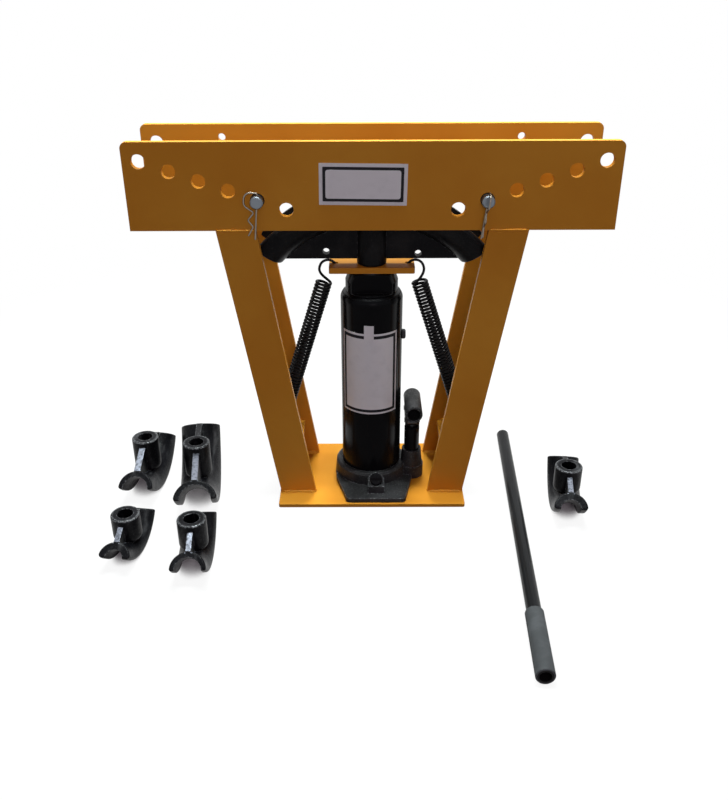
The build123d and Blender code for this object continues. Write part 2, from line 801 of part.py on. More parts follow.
# Release valve: stem and round head with a slot for the handle's end
with BuildPart() as release_valve:
    with BuildSketch(valve_face.offset(-valve_stem_length)):
        Circle(valve_stem_radius)
    extrude(amount=valve_stem_length + valve_gap)
    with BuildSketch(valve_face.offset(valve_gap)):
        Circle(valve_head_radius)
    extrude(amount=valve_head_length)
    chamfer(release_valve.faces().sort_by(Axis((0, 0, 0), valve_axis))[-1].edges(), roller_pin_end_bevel)
    with BuildSketch(valve_face.offset(valve_gap + valve_head_length - valve_slot_depth)):
        Rectangle(2 * valve_head_radius, valve_slot_width)
    extrude(amount=valve_slot_depth, mode=Mode.SUBTRACT)
save(release_valve.part, "release_valve")

# Pump barrel on the boss
with BuildPart() as pump_barrel:
    with BuildSketch(Plane.XY.offset(pump_boss_top_z)):
        with Locations(pump_centre):
            Circle(pump_barrel_radius)
            Circle(plunger_radius + slide_clearance, mode=Mode.SUBTRACT)
    extrude(amount=pump_barrel_top_z - pump_boss_top_z)
    barrel_rim = pump_barrel.faces().sort_by(Axis.Z)[-1].edges().sort_by(SortBy.RADIUS)[-1]
    chamfer(barrel_rim, roller_pin_end_bevel)
save(pump_barrel.part, "pump_barrel")

# Pump plunger with a flat eye
with BuildPart() as pump_plunger:
    with BuildSketch(Plane.XY.offset(plunger_bottom_z)):
        with Locations(pump_centre):
            Circle(plunger_radius)
    extrude(amount=plunger_pin_z - lever_eye_radius / 2 - plunger_bottom_z)
    with BuildSketch(Plane.YZ.offset(pump_x - lever_eye_thickness / 2)):
        with Locations((pump_y, plunger_pin_z)):
            Circle(lever_eye_radius)
    extrude(amount=lever_eye_thickness)
    with BuildSketch(Plane.YZ.offset(pump_x - lever_eye_thickness / 2)):
        with Locations((pump_y, plunger_pin_z)):
            Circle(pump_pin_radius + pump_pin_clearance)
    extrude(amount=lever_eye_thickness, mode=Mode.SUBTRACT)
save(pump_plunger.part, "pump_plunger")

# Pivot pins of the pump lever
pin_half_length = lever_eye_thickness / 2 + cheek_gap + cheek_thickness + pivot_pin_stick_out
for pin_name, pin_y, pin_z in (
    ("plunger_pin", pump_y, plunger_pin_z),
    ("fulcrum_pin", fulcrum_y, fulcrum_z),
):
    with BuildPart() as pivot_pin:
        with BuildSketch(Plane.YZ.offset(pump_x - pin_half_length)):
            with Locations((pin_y, pin_z)):
                Circle(pump_pin_radius)
        extrude(amount=2 * pin_half_length)
    save(pivot_pin.part, pin_name)

# Handle socket: two cheeks under an open tube
slot_play = lever_arm * (1 - cos(radians(lever_rest_angle))) + 2 * pump_pin_clearance
arm_angle = degrees(atan2(fulcrum_z - plunger_pin_z, fulcrum_y - pump_y))
with BuildPart() as handle_socket:
    for side in (-1, 1):
        inside = lever_eye_thickness / 2 + cheek_gap
        cheek_start = pump_x + (inside if side > 0 else -inside - cheek_thickness)
        with BuildSketch(Plane.YZ.offset(cheek_start)):
            with BuildSketch(mode=Mode.PRIVATE) as cheek_circles:
                with Locations((pump_y, plunger_pin_z), (fulcrum_y, fulcrum_z)):
                    Circle(lever_eye_radius)
                with Locations((pump_y - lever_eye_radius, socket_axis_z), (socket_back, socket_axis_z)):
                    Circle(lever_eye_radius / 2)
            make_hull(cheek_circles.edges())
        extrude(amount=cheek_thickness)
    with BuildSketch(Plane.XZ.offset(-socket_back)):
        with Locations((pump_x, socket_axis_z)):
            Circle(socket_radius)
    extrude(amount=socket_back + socket_front)
    with BuildSketch(Plane.XZ.offset(-socket_back + socket_end_wall)):
        with Locations((pump_x, socket_axis_z)):
            Circle(socket_bore_radius)
    extrude(amount=socket_back + socket_front, mode=Mode.SUBTRACT)
    mouth = handle_socket.faces().sort_by(Axis.Y)[0].edges().sort_by(SortBy.RADIUS)[-1]
    chamfer(mouth, socket_mouth_bevel)
    with BuildSketch(Plane.YZ.offset(pump_x - pin_half_length)):
        with Locations((fulcrum_y, fulcrum_z)):
            Circle(pump_pin_radius + pump_pin_clearance)
        with Locations(Location((pump_y, plunger_pin_z), arm_angle)):
            SlotCenterToCenter(2 * slot_play, 2 * (pump_pin_radius + pump_pin_clearance))
    extrude(amount=2 * pin_half_length, mode=Mode.SUBTRACT)
save(handle_socket.part, "handle_socket")

# Ram: rod, shoulder for the spring plate, spigot for the dies
with BuildPart() as ram:
    with BuildSketch(Plane.XY.offset(piston_start_z + piston_length)):
        Circle(ram_radius)
    extrude(amount=spring_plate_bottom_z - piston_start_z - piston_length)
    with BuildSketch(Plane.XY.offset(spring_plate_bottom_z)):
        Circle(spigot_radius)
    extrude(amount=spigot_length)
    chamfer(ram.faces().sort_by(Axis.Z)[-1].edges(), roller_pin_end_bevel)
save(ram.part, "ram")

# Piston and its seal ring
piston_radius = cylinder_bore_radius - 2 * slide_clearance
seal_bottom_z = piston_start_z + (piston_length - piston_seal_width) / 2
with BuildPart() as ram_piston:
    with BuildSketch(Plane.XY.offset(piston_start_z)):
        Circle(piston_radius)
    extrude(amount=piston_length)
    with BuildSketch(Plane.XY.offset(seal_bottom_z)):
        Circle(piston_radius)
        Circle(piston_radius - piston_seal_depth, mode=Mode.SUBTRACT)
    extrude(amount=piston_seal_width, mode=Mode.SUBTRACT)
save(ram_piston.part, "ram_piston")
with BuildPart() as piston_seal:
    with BuildSketch(Plane.XY.offset(seal_bottom_z)):
        Circle(cylinder_bore_radius - slide_clearance)
        Circle(piston_radius - piston_seal_depth + slide_clearance, mode=Mode.SUBTRACT)
    extrude(amount=piston_seal_width)
save(piston_seal.part, "piston_seal")

# Die on the ram: its seat plane lies at the rim and looks down
mounted_seat = Plane(
    origin=(0, 0, spring_plate_top_z + mounted_die_height),
    x_dir=(1, 0, 0),
    z_dir=(0, 0, -1),
)
mounted_die_size = (
    mounted_die_groove_radius,
    mounted_die_wall,
    mounted_die_crown_wall,
    mounted_die_bend_radius,
    mounted_die_half_angle,
    mounted_die_height,
    mounted_die_web,
)
web_holes = [(x, mounted_die_height - rise) for x, rise in mounted_die_web_holes]
mounted_die = bending_die(mounted_seat, mounted_die_size, mounted_die_boss_radius, web_holes)
save(mounted_die, "bending_die_50")

# Loose dies on the floor
for die_name, (x, y, turn) in loose_die_places.items():
    facing = radians(turn)
    floor_seat = Plane(origin=(x, y, 0), x_dir=(sin(facing), -cos(facing), 0), z_dir=(0, 0, 1))
    die = bending_die(floor_seat, loose_die_sizes[die_name], loose_die_boss_radius, [])
    save(die, die_name)

# Roller pins, clips and rollers
for side, side_name, bow_dir in ((-1, "left", (-1, 0, 0)), (1, "right", (0, -1, 0))):
    pin_x = side * pin_in_use_x
    tilt = clip_tilts[side_name]
    save(roller_pin(pin_x, tilt), f"{side_name}_roller_pin")
    save(pin_clip(pin_x, tilt, bow_dir), f"{side_name}_pin_clip")
    save(pipe_roller(pin_x), f"{side_name}_pipe_roller")

# Pump handle: tube and grip sleeve, resting on the grip's inner edge and on the tube's far end
rest_span = handle_length - grip_length
rest_slope = asin((grip_radius - handle_radius) / rest_span)
near_height = grip_radius / cos(rest_slope) + grip_length * tan(rest_slope) + floor_gap
heading = radians(handle_turn)
handle_dir = Vector(
    sin(heading) * cos(rest_slope),
    cos(heading) * cos(rest_slope),
    -sin(rest_slope),
)
handle_plane = Plane(origin=(*handle_end, near_height), z_dir=handle_dir)
with BuildPart() as pump_handle:
    with BuildSketch(handle_plane):
        Circle(handle_radius)
        Circle(handle_radius - handle_wall, mode=Mode.SUBTRACT)
    extrude(amount=handle_length)
save(pump_handle.part, "pump_handle")
with BuildPart() as handle_grip:
    with BuildSketch(handle_plane):
        Circle(grip_radius)
        Circle(handle_radius + grip_clearance, mode=Mode.SUBTRACT)
    extrude(amount=grip_length)
    grip_rims = handle_grip.edges().filter_by(GeomType.CIRCLE).group_by(SortBy.RADIUS)[-1]
    fillet(grip_rims, grip_edge_radius)
save(handle_grip.part, "handle_grip")
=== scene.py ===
from math import asin, atan2, cos, hypot, pi, radians, sin, tan

import bmesh
import bpy
import numpy as np
from mathutils import Matrix, Vector


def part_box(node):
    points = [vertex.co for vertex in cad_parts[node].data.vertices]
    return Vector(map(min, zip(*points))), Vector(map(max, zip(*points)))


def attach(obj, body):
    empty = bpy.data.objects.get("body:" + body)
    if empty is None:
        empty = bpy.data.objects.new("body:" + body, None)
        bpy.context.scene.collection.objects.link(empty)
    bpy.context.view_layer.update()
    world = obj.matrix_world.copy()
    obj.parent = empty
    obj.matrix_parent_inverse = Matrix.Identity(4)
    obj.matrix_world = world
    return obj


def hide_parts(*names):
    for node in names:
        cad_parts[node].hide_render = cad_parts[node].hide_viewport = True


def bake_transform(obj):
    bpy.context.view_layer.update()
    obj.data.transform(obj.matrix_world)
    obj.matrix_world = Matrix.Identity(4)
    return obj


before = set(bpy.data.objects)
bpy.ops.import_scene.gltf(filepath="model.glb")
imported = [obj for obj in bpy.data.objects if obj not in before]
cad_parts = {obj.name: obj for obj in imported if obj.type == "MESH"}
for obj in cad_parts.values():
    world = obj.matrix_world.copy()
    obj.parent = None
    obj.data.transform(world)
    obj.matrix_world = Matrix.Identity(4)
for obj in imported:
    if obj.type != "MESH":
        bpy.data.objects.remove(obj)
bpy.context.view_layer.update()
MM = 0.001

# Camera at the photograph's place and angle: metres and radians, lens and sensor in millimetres
CAMERA_PLACE = (-0.01224, -1.12511, 0.73178)
CAMERA_PITCH = 0.4933
CAMERA_YAW = 0.004
CAMERA_ROLL = -0.0045
CAMERA_LENS = 39.19
CAMERA_SENSOR = 36.0
CAMERA_SHIFT = (0.00506, -0.00066)

# Lamps: place, aim and size in metres, power in watts, linear colour, and whether gloss shows them
LAMPS = {
    "top_lamp": {
        "place": (0.0, -0.04, 1.55),
        "aim": (0.0, -0.03, 0.1),
        "size": (0.9, 0.16),
        "power": 34.0,
        "colour": (0.91, 1.0, 0.98),
        "in_gloss": True,
    },
    "back_lamp": {
        "place": (0.1, 1.8, 2.15),
        "aim": (0.0, 0.0, 0.3),
        "size": (1.2, 1.0),
        "power": 118.0,
        "colour": (0.95, 1.0, 0.97),
        "in_gloss": False,
    },
    "fill_lamp": {
        "place": (0.25, -2.4, 1.2),
        "aim": (0.0, 0.0, 0.25),
        "size": (0.8, 0.8),
        "power": 10.8,
        "colour": (1.0, 0.82, 0.95),
        "in_gloss": True,
    },
}

# World and floor: what they throw on the object, and how the shadow shows on the white
WHITE = (1.0, 1.0, 1.0)
WORLD_LIGHT = 0.10
FLOOR_REACH = 30.0
FLOOR_COLOUR = (0.13, 0.13, 0.13)
FLOOR_CATCH = (0.9, 0.9, 0.9)
SHADOW_NEAR = 0.45
SHADOW_FAR = 1.1
SHADOW_SHARE = 0.075
CONTACT_REACH = 0.04
CONTACT_DARK = 0.10
CONTACT_CLEAR = 0.40
CONTACT_SAMPLES = 16

# Paints and bare metals, as linear colours
YELLOW = (0.62, 0.266, 0.028)
YELLOW_WORN = (0.78, 0.41, 0.075)
YELLOW_DEEP = (0.57, 0.222, 0.020)
PRIMER = (0.11, 0.09, 0.075)
BLACK = (0.005, 0.005, 0.006)
BLACK_DUSTY = (0.018, 0.018, 0.019)
DIE_BLACK = (0.003, 0.003, 0.004)
DIE_DUSTY = (0.011, 0.011, 0.013)
FOOT_GREY = (0.020, 0.020, 0.021)
FOOT_DUSTY = (0.050, 0.050, 0.053)
CAST_GREY = (0.050, 0.051, 0.054)
CAST_BARE = (0.26, 0.265, 0.28)
CAST_STREAK = (0.060, 0.060, 0.064)
# Light bluish bare metal for the dies' ridges, a painted highlight
RIDGE_BARE_HIGHLIGHT = (0.25, 0.265, 0.32)
HANDLE_GREY = (0.013, 0.013, 0.014)
STEEL = (0.22, 0.235, 0.255)
STEEL_DULL = (0.13, 0.136, 0.147)
STEEL_DARK = (0.05, 0.052, 0.056)
PIN_STEEL = (0.13, 0.145, 0.165)
PIN_DULL = (0.08, 0.09, 0.105)
CLIP_STEEL = (0.19, 0.165, 0.14)
CLIP_DULL = (0.12, 0.10, 0.08)
RUBBER = (0.058, 0.061, 0.065)
RUBBER_DUSTY = (0.092, 0.097, 0.104)
LABEL_WHITE = (0.80, 0.785, 0.81)
LABEL_GREY = (0.64, 0.63, 0.65)
LABEL_RIM = (0.008, 0.008, 0.011)

# Masks that the paints share
UP = (0.0, 0.0, 1.0)
BEVEL_SAMPLES = 6
EDGE_TURN = (0.02, 0.25)
SLANT_BEGINS = (0.24, 0.46)
SLANT_ENDS = (0.60, 0.74)
EDGE_ROUGHNESS = 0.8
BARE_METAL = 0.9
COARSE_GRAIN = 0.8

# Loose dies: turn of each on the floor in degrees, radius of the boss, and two bare places:
# the ridge beside the boss, which fades at its sides and end and shows only where it faces up
# on the near side, a painted highlight over bare metal, and the boss's rim, which fades inwards
# and down, bare with painted highlight specks
DIE_TURNS = {
    "bending_die_40": 6.8,
    "bending_die_32": -2.7,
    "bending_die_25": 1.8,
    "bending_die_20": -6.4,
    "bending_die_15": -6.7,
}
BOSS_RADIUS = 19.2 * MM
RIDGE_HALF = 4.4 * MM
RIDGE_SIDE_FADE = 0.4 * MM
RIDGE_END_FADE = 0.6 * MM
RIDGE_HIGHLIGHT_FACING = (0.82, 0.92)
RIM_INWARDS = (4.2 * MM, 1.4 * MM)
RIM_DOWN = (2.6 * MM, 0.9 * MM)
RIM_BARE_AND_HIGHLIGHT = 0.75

# Return springs: the same line as the solids that they stand for, with fuller wire in the coils
WIRE_RADIUS = 1.8 * MM
COIL_WIRE_RADIUS = 2.0 * MM
WIRE_SWELL = 12
COIL_RADIUS = 9.7 * MM
COIL_TURNS = 48
COIL_TOP_X = 64.9 * MM
COIL_TOP_Z = 311.0 * MM
COIL_BOTTOM_Z = 82.0 * MM
HOOK_HOLE_FROM_EDGE = {"left": 8.65 * MM, "right": 4.9 * MM}
UPPER_HOOK_RADIUS = 11.5 * MM
UPPER_HOOK_RISE = 19.5 * MM
UPPER_NECK = 2.0 * MM
UPPER_TAIL = 4.0 * MM
LOWER_HOOK_RADIUS = 6.5 * MM
LOWER_TAIL = 2.8 * MM
HOOK_SEAT_GAP = 0.4 * MM
EASE_REACH = 1.3
WIRE_SIDES = 10

# Points along a spring, from its lower tail to its upper tail
LOWER_TAIL_POINTS = 3
HOOK_POINTS = 15
SHANK_POINTS = 5
COIL_INLET_POINTS = 14
POINTS_PER_TURN = 28
COIL_OUTLET_POINTS = 16
UPPER_TAIL_POINTS = 4

# Bare label places
BEAM_LABEL_CENTRE = (-11.4 * MM, 458.0 * MM)
BEAM_LABEL_SIZE = (108.8 * MM, 51.4 * MM)
BEAM_LABEL_TURN = -0.014
BEAM_LABEL_EDGE = 4.4 * MM
BEAM_LABEL_RIM = 8.0 * MM
BEAM_LABEL_CORNERS = (0.6 * MM, 0.8 * MM, 3.0 * MM)
JACK_LABEL_Z = (126.0 * MM, 250.0 * MM)
JACK_LABEL_CENTRE = -4.1 * MM
JACK_LABEL_HALF = 43.4 * MM
JACK_LABEL_EDGE = 3.0 * MM
JACK_LABEL_RIM = 7.4 * MM
JACK_TAB_HALF = 6.6 * MM
JACK_TAB_HEIGHT = 12.5 * MM
JACK_LABEL_GAP = 0.1 * MM
LABEL_THICKNESS = 0.25 * MM
CORNER_STEPS = 6
WRAP_STEPS = 96

# Weld beads: radius at a seam and at a foot; body, crest and wander as shares of the radius
SEAM_BEAD = 1.7 * MM
FOOT_BEAD = 2.6 * MM
BEAD_RIPPLE = 3.2 * MM
BEAD_BODY = 0.86
BEAD_CREST = 0.14
BEAD_WANDER = 0.06
WANDER_PER_METRE = 190.0
WANDER_SHIFT = 900.0
BEAD_END = 0.25
BEAD_SIDES = 10
POINTS_PER_RIPPLE = 4
BEAD_LEAST_POINTS = 8
SHELF_BEAD_INSET = 0.1


class Nodes:
    """A node tree with short ways to add its nodes."""

    def __init__(self, tree):
        self.tree = tree

    def feed(self, socket, value):
        """Links an output to a socket, or sets the socket to a constant."""
        if isinstance(value, bpy.types.NodeSocket):
            self.tree.links.new(value, socket)
        elif socket.type == "RGBA":
            socket.default_value = (*value, 1.0)
        else:
            socket.default_value = value

    def node(self, kind, **inputs):
        """A node with inputs fed by name, where an underscore stands for a space."""
        made = self.tree.nodes.new(kind)
        for key, value in inputs.items():
            self.feed(made.inputs[key.replace("_", " ")], value)
        return made

    def operate(self, kind, operation, *values):
        """A math or vector math node at work on its values."""
        made = self.tree.nodes.new(kind)
        made.operation = operation
        for socket, value in zip(made.inputs, values):
            self.feed(socket, value)
        return made

    def math(self, operation, *values):
        return self.operate("ShaderNodeMath", operation, *values).outputs["Value"]

    def vector(self, operation, *values):
        return self.operate("ShaderNodeVectorMath", operation, *values).outputs

    def dot(self, a, b):
        return self.vector("DOT_PRODUCT", a, b)["Value"]

    def product(self, value, *others):
        for other in others:
            value = self.math("MULTIPLY", value, other)
        return value

    def remainder(self, value):
        """What is left of 1."""
        return self.math("SUBTRACT", 1.0, value)

    def ramp(self, value, low, high):
        """0 below low, 1 above high, smooth between."""
        made = self.node("ShaderNodeMapRange", Value=value, From_Min=low, From_Max=high)
        made.interpolation_type = "SMOOTHSTEP"
        return made.outputs["Result"]

    def span(self, value, low, high):
        """A 0 to 1 value spread from low to high."""
        made = self.node("ShaderNodeMapRange", Value=value, To_Min=low, To_Max=high)
        return made.outputs["Result"]

    def mix_shaders(self, share, a, b):
        made = self.node("ShaderNodeMixShader", Fac=share)
        self.feed(made.inputs[1], a)
        self.feed(made.inputs[2], b)
        return made.outputs["Shader"]

    def seen_directly(self):
        """1 for what the camera sees, also off gloss or through glass, 0 for light on things."""
        path = self.node("ShaderNodeLightPath").outputs
        seen = self.math("MAXIMUM", path["Is Camera Ray"], path["Is Glossy Ray"])
        return self.math("MAXIMUM", seen, path["Is Transmission Ray"])


class Paint(Nodes):
    """A Principled material with patterns that stay in place on the object."""

    def __init__(self, name):
        self.material = bpy.data.materials.new(name)
        self.material.use_nodes = True
        super().__init__(self.material.node_tree)
        self.shader = self.tree.nodes["Principled BSDF"]
        self.place = self.node("ShaderNodeTexCoord").outputs["Object"]

    def use(self, socket, value):
        """Gives the shader a constant or an output."""
        self.feed(self.shader.inputs[socket], value)

    def noise(self, scale, detail, stretch=None):
        """Noise in place on the object, finer along the stretched axes."""
        where = self.place
        if stretch:
            where = self.node("ShaderNodeMapping", Vector=where, Scale=stretch).outputs["Vector"]
        made = self.node("ShaderNodeTexNoise", Vector=where, Scale=scale, Detail=detail)
        return made.outputs["Fac"]

    def patches(self, scale, detail, low, high, stretch=None):
        """A mask of the places where noise is high."""
        return self.ramp(self.noise(scale, detail, stretch), low, high)

    def uneven(self, scale, detail, low, high):
        """A value that noise spreads from low to high."""
        return self.span(self.noise(scale, detail), low, high)

    def lay(self, under, over, mask, share=None):
        """One colour over another by a mask, or by a share of the mask."""
        if share:
            mask = self.product(mask, share)
        made = self.tree.nodes.new("ShaderNodeMix")
        made.data_type = "RGBA"
        self.feed(made.inputs["Factor"], mask)
        self.feed(made.inputs["A"], under)
        self.feed(made.inputs["B"], over)
        return made.outputs["Result"]

    def rounded(self, radius):
        """Normals that turn round the edges."""
        made = self.node("ShaderNodeBevel", Radius=radius)
        made.samples = BEVEL_SAMPLES
        return made.outputs["Normal"]

    def edges(self, radius):
        """About 1 along sharp edges, 0 on flat faces."""
        flat = self.node("ShaderNodeNewGeometry").outputs["Normal"]
        return self.ramp(self.remainder(self.dot(self.rounded(radius), flat)), *EDGE_TURN)

    def slant(self):
        """1 on faces seen at a slant, 0 on faces seen square on or edge on."""
        facing = self.node("ShaderNodeLayerWeight").outputs["Facing"]
        edge_on = self.ramp(facing, *SLANT_ENDS)
        return self.product(self.ramp(facing, *SLANT_BEGINS), self.remainder(edge_on))

    def die_wear_and_highlights(self, boss_top, turn):
        """Masks for a loose die: the web's ridge on the boss's near side where it faces up, a
        painted highlight, and the boss's rim, bare with painted highlight specks.
        """
        place = self.vector("SUBTRACT", self.place, boss_top)["Vector"]
        normal = self.node("ShaderNodeNewGeometry").outputs["Normal"]
        aside = self.math("ABSOLUTE", self.dot(place, (cos(turn), sin(turn), 0.0)))
        along = self.dot(place, (sin(turn), -cos(turn), 0.0))
        ridge_highlight_place = self.product(
            self.remainder(self.ramp(aside, RIDGE_HALF, RIDGE_HALF + RIDGE_SIDE_FADE)),
            self.ramp(along, BOSS_RADIUS, BOSS_RADIUS + RIDGE_END_FADE),
            self.ramp(self.dot(normal, UP), *RIDGE_HIGHLIGHT_FACING),
        )
        squares = self.math("ADD", self.product(aside, aside), self.product(along, along))
        outwards = self.math("SQRT", squares)
        rim = self.product(
            self.ramp(outwards, *(BOSS_RADIUS - inwards for inwards in RIM_INWARDS)),
            self.ramp(self.dot(place, UP), *(-down for down in RIM_DOWN)),
        )
        return ridge_highlight_place, rim

    def relief(self, height, strength, distance, edge_radius=None):
        """Bump from a height, over edges that may be rounded a little."""
        bump = self.node("ShaderNodeBump", Height=height, Strength=strength, Distance=distance)
        if edge_radius:
            self.feed(bump.inputs["Normal"], self.rounded(edge_radius))
        self.use("Normal", bump.outputs["Normal"])


def yellow_paint():
    """Sprayed enamel: faint orange peel, thin and lighter on edges, chipped here and there."""
    p = Paint("yellow_paint")
    p.use("Specular IOR Level", 0.08)
    cloud = p.patches(scale=6.0, detail=3.0, low=0.35, high=0.7)
    smear = p.patches(scale=38.0, detail=5.0, low=0.55, high=0.8)
    scratch = p.patches(scale=55.0, detail=4.0, low=0.70, high=0.78, stretch=(1.0, 1.0, 9.0))
    edge = p.edges(radius=1.1 * MM)
    chips = p.product(edge, p.patches(scale=330.0, detail=4.0, low=0.63, high=0.69))
    colour = p.lay(YELLOW, YELLOW_DEEP, cloud)
    colour = p.lay(colour, YELLOW_DEEP, smear, share=0.3)
    colour = p.lay(colour, YELLOW_WORN, scratch, share=0.25)
    colour = p.lay(colour, YELLOW_WORN, edge, share=0.5)
    p.use("Base Color", p.lay(colour, PRIMER, chips))
    gloss = p.uneven(scale=70.0, detail=4.0, low=0.30, high=0.50)
    p.use("Roughness", p.math("MAXIMUM", gloss, p.product(edge, EDGE_ROUGHNESS)))
    peel = p.noise(scale=650.0, detail=2.0)
    p.relief(peel, strength=0.10, distance=0.4 * MM, edge_radius=0.7 * MM)
    return p.material


def black_enamel(name, base, dust, specular, glance):
    """Gloss black paint with a little dust and rubbed edges, its gloss strongest at a slant."""
    p = Paint(name)
    film = p.patches(scale=24.0, detail=5.0, low=0.5, high=0.85)
    colour = p.lay(base, BLACK_DUSTY, film, share=dust)
    p.use("Base Color", p.lay(colour, CAST_GREY, p.edges(radius=0.9 * MM), share=0.3))
    p.use("Specular IOR Level", p.span(p.slant(), specular, glance))
    p.use("Roughness", p.uneven(scale=55.0, detail=5.0, low=0.12, high=0.26))
    peel = p.noise(scale=520.0, detail=2.0)
    p.relief(peel, strength=0.05, distance=0.4 * MM, edge_radius=0.6 * MM)
    return p.material


def cast_black(name, base, dusty, rubbed, specular, glint, die=None):
    """Painted casting: grainy skin with glints, edges rubbed to bare metal.

    A loose die, told by the top of its boss and its turn, also has a bare ridge and boss rim that
    carry painted highlights.
    """
    p = Paint(name)
    glints = p.patches(scale=640.0, detail=3.0, low=0.54, high=0.70)
    p.use("Specular IOR Level", p.span(glints, specular, glint))
    blotch = p.patches(scale=34.0, detail=5.0, low=0.38, high=0.72)
    speck = p.patches(scale=520.0, detail=3.0, low=0.64, high=0.74)
    colour = p.lay(base, dusty, blotch, share=0.7)
    colour = p.lay(colour, CAST_GREY, speck, share=0.35)
    chafe = p.patches(scale=420.0, detail=4.0, low=0.46, high=0.66)
    bare = p.product(p.edges(radius=3.2 * MM), chafe, rubbed)
    if die:
        ridge_highlight_place, rim = p.die_wear_and_highlights(*die)
        streak = p.patches(scale=46.0, detail=5.0, low=0.52, high=0.80, stretch=(2.2, 0.35, 1.0))
        colour = p.lay(colour, CAST_STREAK, streak, share=0.8)
        # Bare specks on the boss rim, which are also painted highlights
        rim = p.product(rim, p.patches(scale=620.0, detail=3.0, low=0.38, high=0.70), RIM_BARE_AND_HIGHLIGHT)
        bare = p.math("MAXIMUM", bare, rim)
    colour = p.lay(colour, CAST_BARE, bare)
    if die:
        # Painted highlight: the ridge's up-facing near side turns light bluish bare metal
        ridge_wear_and_highlight = p.product(ridge_highlight_place, p.patches(scale=260.0, detail=6.0, low=0.20, high=0.60))
        colour = p.lay(colour, RIDGE_BARE_HIGHLIGHT, ridge_wear_and_highlight)
        bare = p.math("MAXIMUM", bare, ridge_wear_and_highlight)
    p.use("Base Color", colour)
    p.use("Metallic", p.product(bare, BARE_METAL))
    p.use("Roughness", p.uneven(scale=90.0, detail=5.0, low=0.22, high=0.46))
    coarse = p.product(p.noise(scale=90.0, detail=2.0), COARSE_GRAIN)
    grain = p.math("ADD", p.noise(scale=300.0, detail=3.0), coarse)
    p.relief(grain, strength=0.45, distance=0.5 * MM, edge_radius=1.0 * MM)
    return p.material


def turned_steel(name, colour, stained, stretch):
    """Bare steel with tool marks that lie closer along the stretched axes."""
    p = Paint(name)
    p.use("Metallic", 1.0)
    marks = p.noise(scale=260.0, detail=3.0, stretch=stretch)
    stain = p.patches(scale=60.0, detail=5.0, low=0.45, high=0.75)
    p.use("Base Color", p.lay(colour, stained, stain, share=0.7))
    p.use("Roughness", p.span(marks, low=0.24, high=0.46))
    p.relief(marks, strength=0.12, distance=0.2 * MM, edge_radius=0.4 * MM)
    return p.material


def spring_wire():
    """Oiled black spring wire with a fine rough skin."""
    p = Paint("spring_black")
    p.use("Specular IOR Level", 0.09)
    rub = p.patches(scale=420.0, detail=4.0, low=0.55, high=0.75)
    p.use("Base Color", p.lay(BLACK, BLACK_DUSTY, rub, share=0.4))
    p.use("Roughness", p.uneven(scale=300.0, detail=3.0, low=0.24, high=0.5))
    p.relief(p.noise(scale=900.0, detail=2.0), strength=0.1, distance=0.1 * MM)
    return p.material


def rubber(name, dust):
    """Matt rubber with a fine rough skin and dust."""
    p = Paint(name)
    p.use("Specular IOR Level", 0.15)
    film = p.patches(scale=45.0, detail=6.0, low=0.4, high=0.75)
    p.use("Base Color", p.lay(RUBBER, RUBBER_DUSTY, film, share=dust))
    p.use("Roughness", p.uneven(scale=130.0, detail=4.0, low=0.6, high=0.85))
    p.relief(p.noise(scale=1100.0, detail=3.0), strength=0.5, distance=0.3 * MM)
    return p.material


def label_film(name, colour, soiled):
    """Bare film, faintly soiled."""
    p = Paint(name)
    p.use("Specular IOR Level", 0.1)
    soil = p.patches(scale=75.0, detail=6.0, low=0.45, high=0.8)
    p.use("Base Color", p.lay(colour, soiled, soil, share=0.35))
    p.use("Roughness", p.uneven(scale=140.0, detail=3.0, low=0.34, high=0.55))
    p.relief(p.noise(scale=240.0, detail=3.0), strength=0.06, distance=0.2 * MM)
    return p.material


def paint_node(node, material):
    """Gives a CAD node one material."""
    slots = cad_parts[node].data.materials
    slots.clear()
    slots.append(material)


def new_piece(name, mesh, material, body):
    """Puts a finished mesh into the scene, on a body if one is named."""
    mesh.materials.append(material)
    piece = bpy.data.objects.new(name, mesh)
    bpy.context.scene.collection.objects.link(piece)
    if body:
        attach(piece, body)
    return piece


def tube_mesh(name, points, radii, sides):
    """Round tube along points, each with its own radius, without twist."""
    points = np.asarray(points, float)
    ahead = np.gradient(points, axis=0)
    ahead /= np.linalg.norm(ahead, axis=1, keepdims=True)
    across = np.zeros(3)
    across[np.argmin(np.abs(ahead[0]))] = 1.0
    angles = np.arange(sides) * 2 * pi / sides
    rings = []
    for place, way, radius in zip(points, ahead, radii):
        across = across - way * (across @ way)
        across /= np.linalg.norm(across)
        other = np.cross(way, across)
        circle = np.outer(np.cos(angles), across) + np.outer(np.sin(angles), other)
        rings.append(place + radius * circle)
    verts = np.concatenate(rings)
    last = (len(points) - 1) * sides
    faces = []
    for row in range(0, last, sides):
        for j in range(sides):
            k = (j + 1) % sides
            faces.append((row + j, row + k, row + sides + k, row + sides + j))
    faces.append(tuple(range(sides))[::-1])
    faces.append(tuple(range(last, last + sides)))
    mesh = bpy.data.meshes.new(name)
    mesh.from_pydata(verts.tolist(), [], faces)
    mesh.polygons.foreach_set("use_smooth", [True] * len(faces))
    mesh.update()
    return mesh


def arc(centre, start, way, sweep, steps):
    """Points on an arc: from start, round centre, first towards way."""
    arm = np.asarray(start) - np.asarray(centre)
    radius = np.linalg.norm(arm)
    tangent = np.asarray(way) / np.linalg.norm(way) * radius
    turns = np.linspace(0.0, sweep, steps)
    return np.asarray(centre) + np.outer(np.cos(turns), arm) + np.outer(np.sin(turns), tangent)


